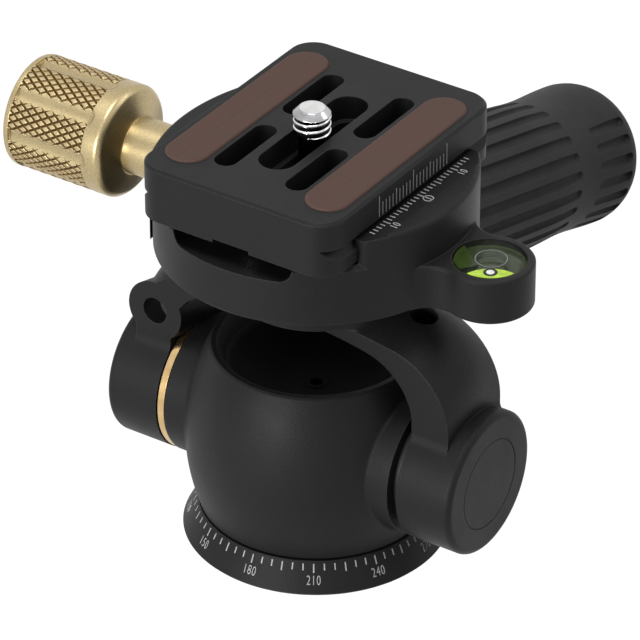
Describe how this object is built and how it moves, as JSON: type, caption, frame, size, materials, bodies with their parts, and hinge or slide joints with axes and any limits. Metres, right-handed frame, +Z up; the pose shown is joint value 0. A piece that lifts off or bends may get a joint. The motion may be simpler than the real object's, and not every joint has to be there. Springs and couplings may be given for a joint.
{
  "type": "tripod pan head",
  "caption": "Compact two-way tripod head: pan base with a scale, tilt fork, dovetail quick-release clamp with a gold knob, camera plate, bubble level and rubber-gripped handle.",
  "frame": {"origin": "mouth of the tripod thread, at the centre of the flat underside", "axes": "+Z up along the pan axis, +X along the tilt axis towards the bubble level, +Y to the back, where the handle goes"},
  "size_m": [0.0979, 0.1619, 0.0952],
  "materials": {
    "black_anodised": "fine bead-blasted black anodising, satin",
    "gold_anodised": "bead-blasted gold anodising, satin",
    "brass": "turned, satin",
    "steel": "turned",
    "polished_steel": "polished",
    "black_steel": "black oxide",
    "grip_rubber": "matt, fluted",
    "pad_rubber": "matt, brown",
    "black_plastic": "slippery washer plastic",
    "level_cup": "green-tinted",
    "level_liquid": "yellow-green liquid",
    "air": "the bubble's air",
    "lens": "clear, domed"
  },
  "bodies": {
    "base": {"base_disc": "black_anodised", "tripod_thread_insert": "steel", "pan_thrust_washer": "black_plastic", "pan_disc_spring": "steel", "pan_retaining_plate": "steel", "pan_plate_screws": "black_steel"},
    "housing": {"pan_housing": "black_anodised", "pan_drag_washer": "brass", "tilt_shaft": "steel", "shaft_grub_screw": "black_steel", "shaft_circlip": "black_steel", "tilt_lock_nut": "steel", "boss_face_washer": "black_plastic"},
    "fork": {"tilt_fork": "black_anodised", "tilt_bush_left": "brass", "tilt_bush_right": "brass", "tilt_thrust_washer": "black_plastic", "tilt_friction_washer": "steel", "tilt_disc_spring": "steel", "boss_cover_left": "black_anodised", "boss_cover_right": "black_anodised", "shoulder_screws": "black_steel", "platform_screws": "black_steel", "platform": "black_anodised", "level_cup": "level_cup", "level_liquid": "level_liquid", "level_bubble": "air", "level_lens": "lens"},
    "jaw": {"moving_jaw": "black_anodised", "jaw_guide_pins": "steel", "jaw_springs": "steel"},
    "knob": {"clamp_knob": "gold_anodised", "clamp_screw": "steel", "knob_washer": "brass"},
    "plate": {"quick_release_plate": "black_anodised", "rubber_pad_left": "pad_rubber", "rubber_pad_right": "pad_rubber", "plate_stop_pins": "steel"},
    "screw_carriage": {"screw_washer": "steel"},
    "camera_screw": {"camera_screw": "polished_steel"},
    "handle": {"handle_rod": "steel", "handle_washer": "steel", "handle_collar": "black_anodised", "grip_core": "black_anodised", "handle_grip": "grip_rubber"}
  },
  "joints": [
    {"name": "pan", "type": "hinge", "parent": "base", "child": "housing", "pos_m": [0, 0, 0], "axis": [0, 0, 1], "continuous": true},
    {"name": "tilt", "type": "hinge", "parent": "housing", "child": "fork", "pos_m": [0, 0, 0.0204], "axis": [1, 0, 0], "range_deg": [-45, 90]},
    {"name": "jaw_slide", "type": "slide", "parent": "fork", "child": "jaw", "axis": [-1, 0, 0], "range_m": [0, 0.0025], "deforming": ["jaw_springs"]},
    {"name": "knob_turn", "type": "hinge", "parent": "jaw", "child": "knob", "pos_m": [0, 0, 0.0625], "axis": [-1, 0, 0], "range_deg": [0, 900]},
    {"name": "plate_slide", "type": "slide", "parent": "fork", "child": "plate", "axis": [0, 1, 0], "range_m": [-0.01, 0.01]},
    {"name": "screw_slide", "type": "slide", "parent": "plate", "child": "screw_carriage", "axis": [0, 1, 0], "range_m": [-0.0095, 0.0105]},
    {"name": "camera_screw_turn", "type": "hinge", "parent": "screw_carriage", "child": "camera_screw", "pos_m": [0.0005, -0.0019, 0.07], "axis": [0, 0, 1], "continuous": true},
    {"name": "handle_twist", "type": "hinge", "parent": "fork", "child": "handle", "pos_m": [-0.0273, -0.008, 0.0368], "axis": [0, 0.9659, -0.2588], "range_deg": [0, 270]}
  ],
  "couplings": [
    {"joint": "jaw_slide", "follows": "knob_turn", "m_per_rad": 0.00015915}
  ]
}
